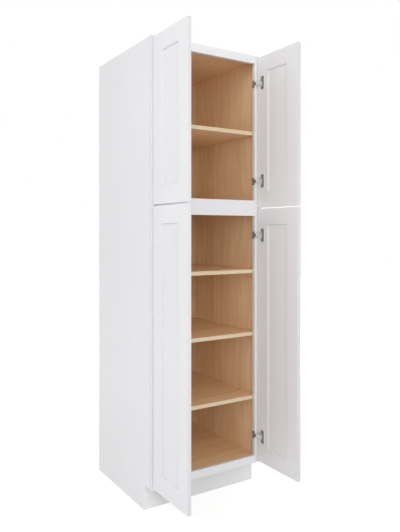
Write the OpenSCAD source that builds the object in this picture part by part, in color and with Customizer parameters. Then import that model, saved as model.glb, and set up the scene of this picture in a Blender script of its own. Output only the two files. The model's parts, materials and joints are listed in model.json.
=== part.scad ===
// Tall utility cabinet: a plywood box with a face frame, one fixed and four
// loose shelves, and two pairs of framed overlay doors on concealed cup hinges.
// Millimetres. The origin is on the floor at the middle of the back face.
// +Z is up and +Y points to the wall, so the doors face -Y.

/* [Cabinet box] */
// Overall width, across the face frame
cab_w = 609.6; // [560:0.1:700]
// Overall height from the floor
cab_h = 2133.6; // [1950:0.1:2400]
// Overall depth without the doors
cab_d = 609.6; // [450:0.1:700]
// Thickness of the side panels
side_t = 19.05; // [12:0.05:22]
// Thickness of the top panel
top_t = 12.7; // [12:0.1:19]
// Thickness of the bottom panel
bottom_t = 12.7; // [12:0.1:19]
// Thickness of the fixed middle shelf
middle_shelf_t = 19.05; // [12:0.05:25]
// Thickness of the back panel
back_t = 12.7; // [9:0.1:16]
// Depth of the grooves in the side panels that hold the other panels
dado_depth = 4; // [2:0.5:6]
// How far the bottom panel lies below the top of the bottom rail
bottom_lip = 5; // [0.5:0.5:6]

/* [Toe kick] */
// Height of the toe space
toe_h = 114.3; // [80:0.1:150]
// Depth of the toe space behind the front of the face frame
toe_depth = 76.2; // [50:0.1:100]
// Thickness of the toe kick board
toe_t = 12.7; // [9:0.1:19]
// Width of the square glue blocks in the base corners
block_w = 25; // [15:1:35]
// Height of the glue blocks
block_h = 80; // [40:1:100]

/* [Face frame] */
// Thickness of the frame members
frame_t = 19.05; // [18:0.05:25]
// Width of the two stiles
stile_w = 38.1; // [36:0.1:45]
// Height of the top rail
top_rail_h = 38.1; // [30:0.1:60]
// Height of the middle rail
middle_rail_h = 76.2; // [60:0.1:100]
// Height of the bottom rail
bottom_rail_h = 38.1; // [30:0.1:60]
// Height of the line between the upper and the lower doors
split_z = 1377.95; // [1250:0.05:1450]
// Eased front edges of the face frame
frame_ease = 0.8; // [0.4:0.1:1.5]

/* [Doors] */
// Thickness of the door stiles and rails
door_t = 19.05; // [18.5:0.05:22]
// Width of the door stiles
door_stile_w = 79.4; // [65:0.1:90]
// Height of the door rails
door_rail_w = 79.4; // [60:0.1:90]
// Thickness of the flat centre panel
panel_t = 5.2; // [4:0.1:6]
// Depth of the panel below the front of the door
panel_recess = 8; // [6:0.1:8.5]
// Depth of the grooves that hold the panel
groove_depth = 10; // [7:0.5:12]
// Room for the panel to swell in its grooves
panel_float = 0.5; // [0.3:0.1:1.5]
// Bevel on the inner front edges of the door frame
front_bevel = 3; // [1:0.1:4]
// Bevel on the inner back edges of the door frame
back_bevel = 1.2; // [0.5:0.1:2]
// Eased outer edges of the doors
door_ease = 1.2; // [1:0.1:2]
// Face frame left showing beside a closed door
side_reveal = 6.35; // [4:0.05:9]
// Face frame left showing above and below the closed doors
end_reveal = 9.525; // [5:0.025:15]
// Gap between a pair of closed doors
pair_gap = 3.175; // [2:0.025:6]
// Gap between the upper and the lower doors
split_gap = 6.35; // [3:0.05:12]
// Gap between a closed door and the face frame
door_gap = 3; // [2.9:0.1:4]
// Angle at which the doors stand open
door_open = 90; // [0:5:105]
// Radius of the clear bumpers on the face frame
bumper_r = 4; // [3:0.5:5]

/* [Hinges] */
// Distance from each end of a door to its hinge centre
hinge_inset = 130; // [90:1:200]
// Wood left between the door edge and the cup
cup_tab = 3.5; // [3:0.1:3.8]
// Outer radius of the hinge cup
cup_r = 17.5; // [17.3:0.1:18]
// Depth of the hinge cup
cup_depth = 13; // [12.8:0.1:13.5]
// Distance of the hinge pin from the door edge
pivot_in = 8; // [7.8:0.1:8.1]
// Distance of the hinge pin from the back of the door
pivot_back = 9.5; // [9.4:0.1:9.7]
// Radius of the hinge pin
pin_r = 1.2; // [1:0.1:1.3]
// Running clearance around the hinge pin
pin_play = 0.05; // [0.03:0.01:0.09]
// Thickness of the cup flange
flange_t = 1; // [0.8:0.1:1.2]
// Radius of the round part of the cup flange
flange_r = 19; // [18.5:0.1:19.3]
// Height of the flange plate with the screw ears
ear_h = 64; // [62:0.5:66]
// Width of the flange plate
ear_w = 25; // [23:0.5:26]
// Thickness of the flange plate
ear_t = 1.6; // [1.3:0.1:1.8]
// Offset of the flange plate from the cup centre
ear_offset = 19; // [18:0.5:20]
// Distance between the two flange screws
ear_screw_gap = 52; // [50:0.5:53]
// Width of the hinge arm
arm_w = 15; // [13:0.5:15.5]
// Width of the arm's tip at the pin
arm_tip_w = 8.4; // [7:0.1:9]
// Thickness of the arm's sheet metal
arm_t = 1.8; // [1.5:0.1:2]
// Height of the mounting plate
plate_h = 35; // [34:0.5:45]
// Thickness of the mounting plate
plate_t = 1.6; // [1.4:0.1:1.8]
// Radius of the side adjusting screw's head
adjuster_r = 4.2; // [3:0.1:4.3]

/* [Shelves] */
// Thickness of the loose shelves
shelf_t = 18; // [15:0.5:25]
// Height of the top of the shelf in the upper bay
upper_shelf_z = 1761; // [1500:1:1850]
// Height of the top of the high shelf in the lower bay
high_shelf_z = 1074; // [980:1:1200]
// Height of the top of the middle shelf in the lower bay
mid_shelf_z = 762; // [680:1:860]
// Height of the top of the low shelf in the lower bay
low_shelf_z = 446; // [330:1:560]
// Gap between a loose shelf and each side panel
shelf_side_gap = 1.5; // [1.3:0.1:3]
// Gap between a loose shelf and the face frame
shelf_front_gap = 3; // [1:0.5:10]
// Gap between a loose shelf and the back panel
shelf_back_gap = 3; // [1:0.5:10]
// Thickness of the banding on a shelf's front edge
band_t = 1; // [0.5:0.1:3]
// Radius of the shelf pins
shelf_pin_r = 2.5; // [2:0.1:3]
// Depth of the shelf pin holes
pin_hole_depth = 9; // [6:0.5:10]
// Distance of the pin holes from the face frame and the back panel
pin_setback = 50; // [37:1:90]
// Distance between one pin hole and the next
pin_pitch = 32; // [25:1:40]

/* [Hidden] */
$fn = 48;
eps = 1;                       // how far a cutter passes a face
screw_play = 0.15;             // room around a screw in metal
pilot_play = 0.05;             // room around a screw in wood

// Places across the cabinet
front_y = -cab_d;              // front of the face frame
frame_back_y = front_y + frame_t;
half_w = cab_w / 2;
inner_x = half_w - side_t;     // inner face of the right side panel
held_x = inner_x + dado_depth; // end of a panel held in the side's groove
opening_x = half_w - stile_w;  // inner edge of the right stile

toe_board_y = front_y + toe_depth;
toe_board_back_y = toe_board_y + toe_t;

// Heights
bottom_rail_top = toe_h + bottom_rail_h;
bottom_top = bottom_rail_top - bottom_lip;
bottom_z = bottom_top - bottom_t;
middle_rail_top = split_z + middle_rail_h / 2;
middle_rail_bottom = split_z - middle_rail_h / 2;
top_rail_bottom = cab_h - top_rail_h;
middle_shelf_z = middle_rail_top - middle_shelf_t;
top_panel_z = cab_h - top_t;

// Doors, in their own axes: x from the pin to the free edge, y to the back, z up
door_w = half_w - pair_gap / 2 - side_reveal;
door_x0 = -pivot_in;
door_x1 = door_x0 + door_w;
door_front = pivot_back - door_t;
opening_x0 = door_x0 + door_stile_w;
opening_x1 = door_x1 - door_stile_w;
panel_y = door_front + panel_recess;
lower_door_z = toe_h + end_reveal;
upper_door_z = split_z + split_gap / 2;
lower_door_h = split_z - split_gap / 2 - lower_door_z;
upper_door_h = cab_h - end_reveal - upper_door_z;

// The pin's place on the cabinet
pivot_x = half_w - side_reveal - pivot_in;
pivot_y = front_y - door_gap - pivot_back;

// Hinge parts, measured from the pin
cup_x = cup_tab + cup_r - pivot_in;
cup_wall = 1;
cup_floor = 0.6;
bore_play = 0.1;
bore_r = cup_r + bore_play;
bore_depth = cup_depth + bore_play;
ear_corner_r = 6;
ear_screw_r = 1.75;
ear_screw_len = 12;
ear_head_r = 3.5;
ear_head_h = 0.9;
pin_cover = 0.3;               // wall left over the ends of the pin
pin_half = sqrt(pow(cup_r, 2) - pow(cup_x + pin_r, 2)) - pin_cover;
boss_r = 2.6;                  // bosses inside the cup that hold the pin
boss_gap = 0.8;                // from the arm's tip to each boss
barrel_r = 2.4;
lever_y = -2.1;                // outer face of the lever, seen from the pin
bend_r = 3;                    // outer radius of the arm's bend
taper_x0 = 11;                 // the arm widens from here
taper_x1 = 19;                 // to here
frame_y = door_gap + pivot_back;
plate_x = pivot_x - opening_x; // inner edge of the stile
arm_x = plate_x + plate_t;
riser_x = arm_x + arm_t;       // outer face of the arm's riser
plate_inset = 0.6;             // plate edge behind the front of the stile
plate_d = frame_t - 2 * plate_inset;
arm_tail = 15;                 // length of the arm that lies on the plate
arm_end_y = frame_y + arm_tail;
adjuster_y = 5.4;
adjuster_len = 6;
adjuster_shank_r = 2;
plate_screw_r = 1.9;
plate_screw_len = 14;
plate_head_r = 3.4;
plate_head_h = 1.6;
plate_screw_inset = 5.1;       // screw centre from the end of the plate
plate_screw_gap = plate_h - 2 * plate_screw_inset;
fixing_inset = 9;              // screw centre behind the front of the stile
fixing_y = frame_y + fixing_inset;
bumper_gap = 0.3;
bumper_h = door_gap - bumper_gap;
bumper_inset = 14;             // bumper centre from the free corner of a door

// Shelf supports
pin_hole_r = shelf_pin_r + pilot_play;
pin_holes = [-1, 0, 1];        // holes below, at and above each support
stud_len = 8;
collar_r = 4.5;
collar_t = 1;
tongue_len = 10;
tongue_w = 8;
tongue_t = 2.4;
shelf_front_y = frame_back_y + shelf_front_gap;
shelf_back_y = -back_t - shelf_back_gap;
pin_rows = [frame_back_y + pin_setback, -back_t - pin_setback];
shelf_tops = [upper_shelf_z, high_shelf_z, mid_shelf_z, low_shelf_z];
shelf_end_x = inner_x - shelf_side_gap;

// Screws through the back panel
back_screw_r = 2;
back_screw_len = 38;
back_head_r = 4;
back_head_h = 2.2;
back_screw_inset = 60;         // outer screws from the side panels
back_screw_x = inner_x - back_screw_inset;
slot_width = 0.3;              // cross recess, as a share of the head's radius
slot_length = 1.1;

// Colours
white = [0.93, 0.93, 0.935];
maple = [0.72, 0.54, 0.38];
band_maple = [0.89, 0.80, 0.64];
nickel = [0.72, 0.72, 0.71];
dark_steel = [0.34, 0.33, 0.33];

// Each door: name, side (-1 left, 1 right), height of its bottom, its own height
DOORS = [
    ["upper_left_door", -1, upper_door_z, upper_door_h],
    ["upper_right_door", 1, upper_door_z, upper_door_h],
    ["lower_left_door", -1, lower_door_z, lower_door_h],
    ["lower_right_door", 1, lower_door_z, lower_door_h],
];
DOOR_PIECES = [
    "hinge_stile", "lock_stile", "top_rail", "bottom_rail", "panel",
    "hinge_cups", "hinge_pins", "cup_screws",
];
CABINET_NODES = [
    "side_panel_left", "side_panel_right", "top_panel", "bottom_panel", "middle_shelf",
    "back_panel", "back_screws", "toe_kick_board", "corner_blocks",
    "frame_stile_left", "frame_stile_right", "frame_top_rail", "frame_middle_rail",
    "frame_bottom_rail", "door_bumpers",
    "upper_bay_shelf", "lower_bay_high_shelf", "lower_bay_mid_shelf", "lower_bay_low_shelf",
    "shelf_edge_bands", "shelf_pins",
    "hinge_plates", "hinge_arms", "hinge_plate_screws", "hinge_adjusting_screws",
];

function door_node(door, piece) = str(door[0], "_", piece);
function door_side(door) = door[1];
function door_z(door) = door[2];
function door_h(door) = door[3];
function hinge_heights(door) = [hinge_inset, door_h(door) - hinge_inset];

// Basic shapes
module box(lo, hi) { translate(lo) cube(hi - lo); }
module rod_x(x0, len, r) { translate([x0, 0, 0]) rotate([0, 90, 0]) cylinder(h = len, r = r); }
module rod_y(y0, len, r) { translate([0, y0, 0]) rotate([-90, 0, 0]) cylinder(h = len, r = r); }
module rod_z(z0, len, r) { translate([0, 0, z0]) cylinder(h = len, r = r); }

// A flat outline in y and z, drawn out along x
module extrude_x(x0, len) {
    translate([x0, 0, 0]) rotate([90, 0, 90]) linear_extrude(len) children();
}

// A flat outline in x and z, drawn out along y
module extrude_y(y0, len) {
    translate([0, y0 + len, 0]) rotate([90, 0, 0]) linear_extrude(len) children();
}

// A rectangle w by h whose near corners are cut by a and far corners by b
function near_corners(w, a) = a > 0 ? [[0, a], [a, 0], [w - a, 0], [w, a]] : [[0, 0], [w, 0]];
function far_corners(w, h, b) =
    b > 0 ? [[w, h - b], [w - b, h], [b, h], [0, h - b]] : [[w, h], [0, h]];
function eased_rect(w, h, a, b) = concat(near_corners(w, a), far_corners(w, h, b));

// The same rectangle turned, so that its left corners are cut by a and its right corners by b
function turned(points) = [for (p = points) [p[1], p[0]]];

// A board w wide, d deep and h high with eased edges on its front and its back face
module eased_board(w, d, h, front, back) {
    intersection() {
        linear_extrude(h) polygon(eased_rect(w, d, front, back));
        extrude_x(0, w) polygon(turned(eased_rect(h, d, front, back)));
    }
}

// The bevel around an opening: a cutter that widens towards the face at y = face.
// way is -1 for a front face and 1 for a back face.
module opening_bevel(x0, x1, z0, z1, face, bevel, way) {
    out = bevel + eps;
    tip = face + way * eps;
    root = face - way * bevel;
    intersection() {
        translate([0, 0, z0 - out]) linear_extrude(z1 - z0 + 2 * out)
            polygon([[x0 - out, tip], [x1 + out, tip], [x1, root], [x0, root]]);
        extrude_x(x0 - out, x1 - x0 + 2 * out)
            polygon([[tip, z0 - out], [tip, z1 + out], [root, z1], [root, z0]]);
    }
}

// A screw along +z: the head stands on z = 0 and the shank goes down, with a cross recess
module screw(r, len, head_r, head_h) {
    difference() {
        union() {
            rod_z(0, head_h, head_r);
            rod_z(-len, len, r);
        }
        for (turn = [0, 90])
            rotate([0, 0, turn])
                translate([0, 0, head_h])
                    cube([head_r * slot_length, head_r * slot_width, head_h], center = true);
    }
}

// Draws for the left side, and mirrors for the right side
module on_side(side) {
    if (side < 0) children();
    else mirror([1, 0, 0]) children();
}

// Hangs a door part on its pin and swings it open
module hang(door) {
    on_side(door_side(door)) translate([-pivot_x, pivot_y, door_z(door)])
        rotate([0, 0, -door_open]) children();
}

// Puts a hinge part of the cabinet at each hinge of each door
module at_each_hinge() {
    for (door = DOORS)
        for (z = hinge_heights(door))
            on_side(door_side(door)) translate([-pivot_x, pivot_y, door_z(door) + z]) children();
}

// Plywood box
module side_panel(side) {
    color(white) on_side(side) difference() {
        box([-half_w, frame_back_y, 0], [-inner_x, 0, cab_h]);
        // toe space
        box([-half_w - eps, frame_back_y - eps, -eps], [-inner_x + eps, toe_board_y, toe_h]);
        // grooves for the bottom, middle, top and back panels
        side_groove(bottom_z, bottom_top);
        side_groove(middle_shelf_z, middle_rail_top);
        side_groove(top_panel_z, cab_h + eps);
        box([-held_x, -back_t, -eps], [-inner_x + eps, eps, cab_h + eps]);
        // pin holes around each loose shelf
        for (top = shelf_tops)
            for (y = pin_rows)
                for (step = pin_holes)
                    translate([0, y, pin_z(top) + step * pin_pitch])
                        rod_x(-inner_x - pin_hole_depth, pin_hole_depth + eps, pin_hole_r);
    }
}

module side_groove(z0, z1) {
    box([-held_x, frame_back_y - eps, z0], [-inner_x + eps, -back_t, z1]);
}

module held_panel(z0, z1) { box([-held_x, frame_back_y, z0], [held_x, -back_t, z1]); }

module top_panel() {
    color(maple) difference() {
        held_panel(top_panel_z, cab_h);
        back_screw_pilots();
    }
}

module bottom_panel() {
    color(maple) difference() {
        held_panel(bottom_z, bottom_top);
        back_screw_pilots();
    }
}

module middle_shelf() {
    color(maple) difference() {
        held_panel(middle_shelf_z, middle_rail_top);
        back_screw_pilots();
    }
}

module back_panel() {
    color(maple) difference() {
        box([-held_x, -back_t, 0], [held_x, 0, cab_h]);
        at_back_screws() {
            rod_y(-back_t - eps, back_t + 2 * eps, back_screw_r + screw_play);
            rod_y(-back_head_h, back_head_h + eps, back_head_r + screw_play);
        }
    }
}

module at_back_screws() {
    for (z = [top_panel_z + top_t / 2, middle_shelf_z + middle_shelf_t / 2, bottom_z + bottom_t / 2])
        for (x = [-back_screw_x, 0, back_screw_x])
            translate([x, 0, z]) children();
}

module back_screw_pilots() {
    at_back_screws() rod_y(-back_screw_len - eps, back_screw_len, back_screw_r + pilot_play);
}

module back_screws() {
    color(dark_steel) at_back_screws()
        rotate([-90, 0, 0]) translate([0, 0, -back_head_h])
            screw(back_screw_r, back_screw_len - back_head_h, back_head_r, back_head_h);
}

// Base
module toe_kick_board() {
    color(white) box([-inner_x, toe_board_y, 0], [inner_x, toe_board_back_y, bottom_z]);
}

module corner_blocks() {
    color(maple) for (side = [-1, 1]) on_side(side)
        for (y = [toe_board_back_y, -back_t - block_w])
            box([-inner_x, y, bottom_z - block_h], [-inner_x + block_w, y + block_w, bottom_z]);
}

// Face frame
module frame_blank() {
    translate([-half_w, front_y, toe_h])
        eased_board(cab_w, frame_t, cab_h - toe_h, frame_ease, 0);
}

module frame_bevels() {
    for (bay = [[bottom_rail_top, middle_rail_bottom], [middle_rail_top, top_rail_bottom]])
        opening_bevel(-opening_x, opening_x, bay[0], bay[1], front_y, frame_ease, -1);
}

module frame_stile(side) {
    color(white) difference() {
        intersection() {
            frame_blank();
            on_side(side) box([-half_w, front_y, toe_h], [-opening_x, frame_back_y, cab_h]);
        }
        frame_bevels();
        at_each_hinge() plate_screw_pilots();
    }
}

module frame_rail(z0, z1) {
    color(white) difference() {
        intersection() {
            frame_blank();
            box([-opening_x, front_y, z0], [opening_x, frame_back_y, z1]);
        }
        frame_bevels();
    }
}

module door_bumpers() {
    color(nickel) for (door = DOORS) on_side(door_side(door))
        for (z = [bumper_inset, door_h(door) - bumper_inset])
            translate([door_x1 - pivot_x - bumper_inset, 0, door_z(door) + z])
                rod_y(front_y - bumper_h, bumper_h, bumper_r);
}

// Loose shelves
function pin_z(top) = top - shelf_t - shelf_pin_r;

module loose_shelf(top) {
    color(maple)
        box([-shelf_end_x, shelf_front_y + band_t, top - shelf_t], [shelf_end_x, shelf_back_y, top]);
}

module shelf_edge_bands() {
    color(band_maple) for (top = shelf_tops)
        box([-shelf_end_x, shelf_front_y, top - shelf_t], [shelf_end_x, shelf_front_y + band_t, top]);
}

module shelf_pin() {
    rod_x(-inner_x - stud_len, stud_len + collar_t, shelf_pin_r);
    rod_x(-inner_x, collar_t, collar_r);
    translate([0, 0, shelf_pin_r])
        box([-inner_x, -tongue_w / 2, -tongue_t], [-inner_x + tongue_len, tongue_w / 2, 0]);
}

module shelf_pins() {
    color(nickel) for (side = [-1, 1]) on_side(side)
        for (top = shelf_tops)
            for (y = pin_rows)
                translate([0, y, pin_z(top)]) shelf_pin();
}

// Door frame and panel
module door_blank(h) {
    translate([door_x0, door_front, 0]) intersection() {
        eased_board(door_w, door_t, h, door_ease, door_ease);
        extrude_y(0, door_t) polygon(eased_rect(door_w, h, door_ease, door_ease));
    }
}

module door_bevels(h) {
    z1 = h - door_rail_w;
    opening_bevel(opening_x0, opening_x1, door_rail_w, z1, door_front, front_bevel, -1);
    opening_bevel(opening_x0, opening_x1, door_rail_w, z1, pivot_back, back_bevel, 1);
}

// A groove for the panel, between two corners given in x and z
module panel_groove(lo, hi) {
    box([lo[0], panel_y, lo[1]], [hi[0], panel_y + panel_t, hi[1]]);
}

module door_hinge_stile(door) {
    h = door_h(door);
    color(white) difference() {
        intersection() {
            door_blank(h);
            box([door_x0, door_front, 0], [opening_x0, pivot_back, h]);
        }
        panel_groove([opening_x0 - groove_depth, -eps], [opening_x0 + eps, h + eps]);
        door_bevels(h);
        for (z = hinge_heights(door)) translate([0, 0, z]) hinge_bores();
    }
}

module hinge_bores() {
    translate([cup_x, 0, 0]) rod_y(pivot_back - bore_depth, bore_depth + eps, bore_r);
    at_ear_screws()
        rod_y(pivot_back - ear_screw_len - eps, ear_screw_len + 2 * eps, ear_screw_r + pilot_play);
}

module door_lock_stile(door) {
    h = door_h(door);
    color(white) difference() {
        intersection() {
            door_blank(h);
            box([opening_x1, door_front, 0], [door_x1, pivot_back, h]);
        }
        panel_groove([opening_x1 - eps, -eps], [opening_x1 + groove_depth, h + eps]);
        door_bevels(h);
    }
}

// edge is the rail's inner edge, and way points from it into the rail
module door_rail(door, edge, way) {
    h = door_h(door);
    outer = edge + way * door_rail_w;
    z0 = min(edge, outer);
    z1 = max(edge, outer);
    tenon_x0 = opening_x0 - groove_depth;
    tenon_x1 = opening_x1 + groove_depth;
    mouth = edge - way * eps;
    root = edge + way * groove_depth;
    color(white) difference() {
        intersection() {
            door_blank(h);
            union() {
                box([opening_x0, door_front, z0], [opening_x1, pivot_back, z1]);
                panel_groove([tenon_x0, z0], [tenon_x1, z1]);
            }
        }
        panel_groove([tenon_x0 - eps, min(mouth, root)], [tenon_x1 + eps, max(mouth, root)]);
        door_bevels(h);
    }
}

module door_top_rail(door) { door_rail(door, door_h(door) - door_rail_w, 1); }

module door_bottom_rail(door) { door_rail(door, door_rail_w, -1); }

module door_panel(door) {
    tongue = groove_depth - panel_float;
    color(white)
        box([opening_x0 - tongue, panel_y, door_rail_w - tongue],
            [opening_x1 + tongue, panel_y + panel_t, door_h(door) - door_rail_w + tongue]);
}

// Hinge parts on the door, drawn around the pin at the hinge's height
module at_ear_screws() {
    for (z = [-ear_screw_gap / 2, ear_screw_gap / 2])
        translate([cup_x + ear_offset, 0, z]) children();
}

module ear_plate() {
    reach_x = ear_w / 2 - ear_corner_r;
    reach_z = ear_h / 2 - ear_corner_r;
    translate([cup_x + ear_offset, 0, 0]) {
        box([-ear_w / 2, pivot_back, -reach_z], [ear_w / 2, pivot_back + ear_t, reach_z]);
        box([-reach_x, pivot_back, -ear_h / 2], [reach_x, pivot_back + ear_t, ear_h / 2]);
        for (x = [-reach_x, reach_x])
            for (z = [-reach_z, reach_z])
                translate([x, 0, z]) rod_y(pivot_back, ear_t, ear_corner_r);
    }
}

module cup_body() { translate([cup_x, 0, 0]) rod_y(pivot_back - cup_depth, cup_depth, cup_r); }

module cup_shell() {
    difference() {
        union() {
            cup_body();
            translate([cup_x, 0, 0]) rod_y(pivot_back, flange_t, flange_r);
            ear_plate();
        }
        translate([cup_x, 0, 0])
            rod_y(pivot_back - cup_depth + cup_floor, cup_depth + ear_t, cup_r - cup_wall);
    }
}

module pin_bosses() {
    near_end = arm_tip_w / 2 + boss_gap;
    intersection() {
        for (z0 = [-cup_r, near_end]) rod_z(z0, cup_r - near_end, boss_r);
        cup_body();
    }
}

module hinge_cup() {
    difference() {
        union() {
            cup_shell();
            pin_bosses();
        }
        at_ear_screws() rod_y(pivot_back - eps, ear_t + 2 * eps, ear_screw_r + screw_play);
        rod_z(-pin_half, 2 * pin_half, pin_r);
    }
}

module door_hinge_cups(door) {
    color(nickel) for (z = hinge_heights(door)) translate([0, 0, z]) hinge_cup();
}

module door_hinge_pins(door) {
    color(dark_steel) for (z = hinge_heights(door)) rod_z(z - pin_half, 2 * pin_half, pin_r);
}

module door_cup_screws(door) {
    color(dark_steel) for (z = hinge_heights(door)) translate([0, 0, z]) at_ear_screws()
        translate([0, pivot_back + ear_t, 0]) rotate([-90, 0, 0])
            screw(ear_screw_r, ear_screw_len, ear_head_r, ear_head_h);
}

// Hinge parts on the face frame, drawn around the pin at the hinge's height
module plate_screws_at(gap) {
    for (z = [-gap / 2, gap / 2]) translate([0, fixing_y, z]) children();
}

module plate_screw_pilots() {
    for (gap = [0, plate_screw_gap])
        plate_screws_at(gap)
            rod_x(plate_x - plate_screw_len, plate_screw_len + eps, plate_screw_r + pilot_play);
}

module hinge_plates() {
    y0 = frame_y + plate_inset;
    color(dark_steel) at_each_hinge() difference() {
        box([plate_x, y0, -plate_h / 2], [plate_x + plate_t, y0 + plate_d, plate_h / 2]);
        for (gap = [0, plate_screw_gap])
            plate_screws_at(gap) rod_x(plate_x - eps, plate_t + 2 * eps, plate_screw_r + screw_play);
    }
}

// The arm seen from above: an eye around the pin, a lever, a bend and a riser
module arm_outline() {
    difference() {
        union() {
            circle(r = barrel_r);
            translate([0, lever_y]) square([riser_x - bend_r, arm_t]);
            translate([arm_x, lever_y + bend_r]) square([arm_t, arm_end_y - lever_y - bend_r]);
            translate([riser_x - bend_r, lever_y + bend_r]) intersection() {
                difference() {
                    circle(r = bend_r);
                    circle(r = bend_r - arm_t);
                }
                translate([0, -bend_r]) square(bend_r);
            }
        }
        circle(r = pin_r + pin_play);
    }
}

// The arm seen from the front: it widens from the eye to the riser
module arm_width_outline() {
    half = arm_w / 2;
    tip = arm_tip_w / 2;
    end_x = riser_x + eps;
    polygon([[-barrel_r - eps, -tip], [taper_x0, -tip], [taper_x1, -half], [end_x, -half],
             [end_x, half], [taper_x1, half], [taper_x0, tip], [-barrel_r - eps, tip]]);
}

module hinge_arm() {
    difference() {
        intersection() {
            translate([0, 0, -arm_w / 2]) linear_extrude(arm_w) arm_outline();
            extrude_y(lever_y - eps, arm_end_y - lever_y + 2 * eps) arm_width_outline();
        }
        translate([0, adjuster_y, 0]) rod_x(arm_x - eps, arm_t + 2 * eps, adjuster_r + pilot_play);
        translate([0, fixing_y, 0]) rod_x(arm_x - eps, arm_t + 2 * eps, plate_screw_r + screw_play);
    }
}

module hinge_arms() { color(nickel) at_each_hinge() hinge_arm(); }

module hinge_plate_screws() {
    color(dark_steel) at_each_hinge() {
        plate_screws_at(plate_screw_gap) translate([arm_x, 0, 0]) rotate([0, 90, 0])
            screw(plate_screw_r, plate_screw_len + plate_t, plate_head_r, plate_head_h);
        translate([riser_x, fixing_y, 0]) rotate([0, 90, 0])
            screw(plate_screw_r, plate_screw_len + plate_t + arm_t, plate_head_r, plate_head_h);
    }
}

module hinge_adjusting_screws() {
    color(dark_steel) at_each_hinge() translate([arm_x, adjuster_y, 0]) rotate([0, 90, 0])
        screw(adjuster_shank_r, adjuster_len, adjuster_r, arm_t);
}

// Cabinet
side_panel(-1);  // side_panel_left
side_panel(1);  // side_panel_right
top_panel();
bottom_panel();
middle_shelf();
back_panel();
back_screws();
toe_kick_board();
corner_blocks();
frame_stile(-1);  // frame_stile_left
frame_stile(1);  // frame_stile_right
frame_rail(top_rail_bottom, cab_h);  // frame_top_rail
frame_rail(middle_rail_bottom, middle_rail_top);  // frame_middle_rail
frame_rail(toe_h, bottom_rail_top);  // frame_bottom_rail
door_bumpers();
loose_shelf(upper_shelf_z);  // upper_bay_shelf
loose_shelf(high_shelf_z);  // lower_bay_high_shelf
loose_shelf(mid_shelf_z);  // lower_bay_mid_shelf
loose_shelf(low_shelf_z);  // lower_bay_low_shelf
shelf_edge_bands();
shelf_pins();
hinge_plates();
hinge_arms();
hinge_plate_screws();
hinge_adjusting_screws();

// Doors
for (door = DOORS) {
    hang(door) door_hinge_stile(door);
    hang(door) door_lock_stile(door);
    hang(door) door_top_rail(door);
    hang(door) door_bottom_rail(door);
    hang(door) door_panel(door);
    hang(door) door_hinge_cups(door);
    hang(door) door_hinge_pins(door);
    hang(door) door_cup_screws(door);
}
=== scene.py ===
"""Looks of a tall utility cabinet: white painted box, face frame and doors, maple inside."""

import json
import logging
import math
from dataclasses import dataclass
from enum import Enum
from functools import partial
from typing import Callable

import bmesh
import bpy
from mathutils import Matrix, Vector

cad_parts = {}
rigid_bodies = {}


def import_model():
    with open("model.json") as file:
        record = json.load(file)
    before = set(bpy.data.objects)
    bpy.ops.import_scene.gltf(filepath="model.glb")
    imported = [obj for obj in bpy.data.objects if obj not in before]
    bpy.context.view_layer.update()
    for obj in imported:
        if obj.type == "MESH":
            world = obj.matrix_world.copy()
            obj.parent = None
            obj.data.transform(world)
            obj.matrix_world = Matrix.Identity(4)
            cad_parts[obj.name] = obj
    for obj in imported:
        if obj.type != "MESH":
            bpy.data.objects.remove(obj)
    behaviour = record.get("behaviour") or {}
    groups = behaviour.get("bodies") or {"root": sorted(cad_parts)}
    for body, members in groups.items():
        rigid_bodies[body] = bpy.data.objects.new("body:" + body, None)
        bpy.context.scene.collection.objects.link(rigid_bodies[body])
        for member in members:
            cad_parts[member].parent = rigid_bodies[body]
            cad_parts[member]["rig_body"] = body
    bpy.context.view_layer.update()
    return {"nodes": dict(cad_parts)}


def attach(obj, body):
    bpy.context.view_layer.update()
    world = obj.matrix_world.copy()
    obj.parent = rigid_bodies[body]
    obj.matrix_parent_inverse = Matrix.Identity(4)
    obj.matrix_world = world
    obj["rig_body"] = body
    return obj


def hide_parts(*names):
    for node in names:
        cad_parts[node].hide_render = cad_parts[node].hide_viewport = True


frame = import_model()

log = logging.getLogger("utility_cabinet")

MM = 0.001

Color = tuple[float, float, float]
Span = tuple[float, float]
Socket = bpy.types.NodeSocket
Value = Socket | float | tuple[float, ...]
FaceRule = Callable[[Vector, Vector], int]

FULL: Span = (0.0, 1.0)
MIDDLE: Span = (0.3, 0.7)         # where most of a noise's values lie
HALF = 0.5                        # the middle of a noise and of a tone
WHITE: Color = (1.0, 1.0, 1.0)


class Axis(Enum):
    """The three directions of the cabinet."""

    X = 0
    Y = 1
    Z = 2


class Slot(Enum):
    """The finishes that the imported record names."""

    PAINT = "white_paint"
    MAPLE = "maple_interior"
    BANDING = "maple_banding"
    BARE = "bare_wood"
    NICKEL = "nickel_hardware"
    DARK = "dark_hardware"
    SCREW = "dark_screws"
    PIN = "pin_steel"
    BUMPER = "clear_bumper"


class DoorName(Enum):
    """The four doors, by the bodies that carry them."""

    UPPER_LEFT = "upper_left_door"
    UPPER_RIGHT = "upper_right_door"
    LOWER_LEFT = "lower_left_door"
    LOWER_RIGHT = "lower_right_door"


# Shader building


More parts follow.
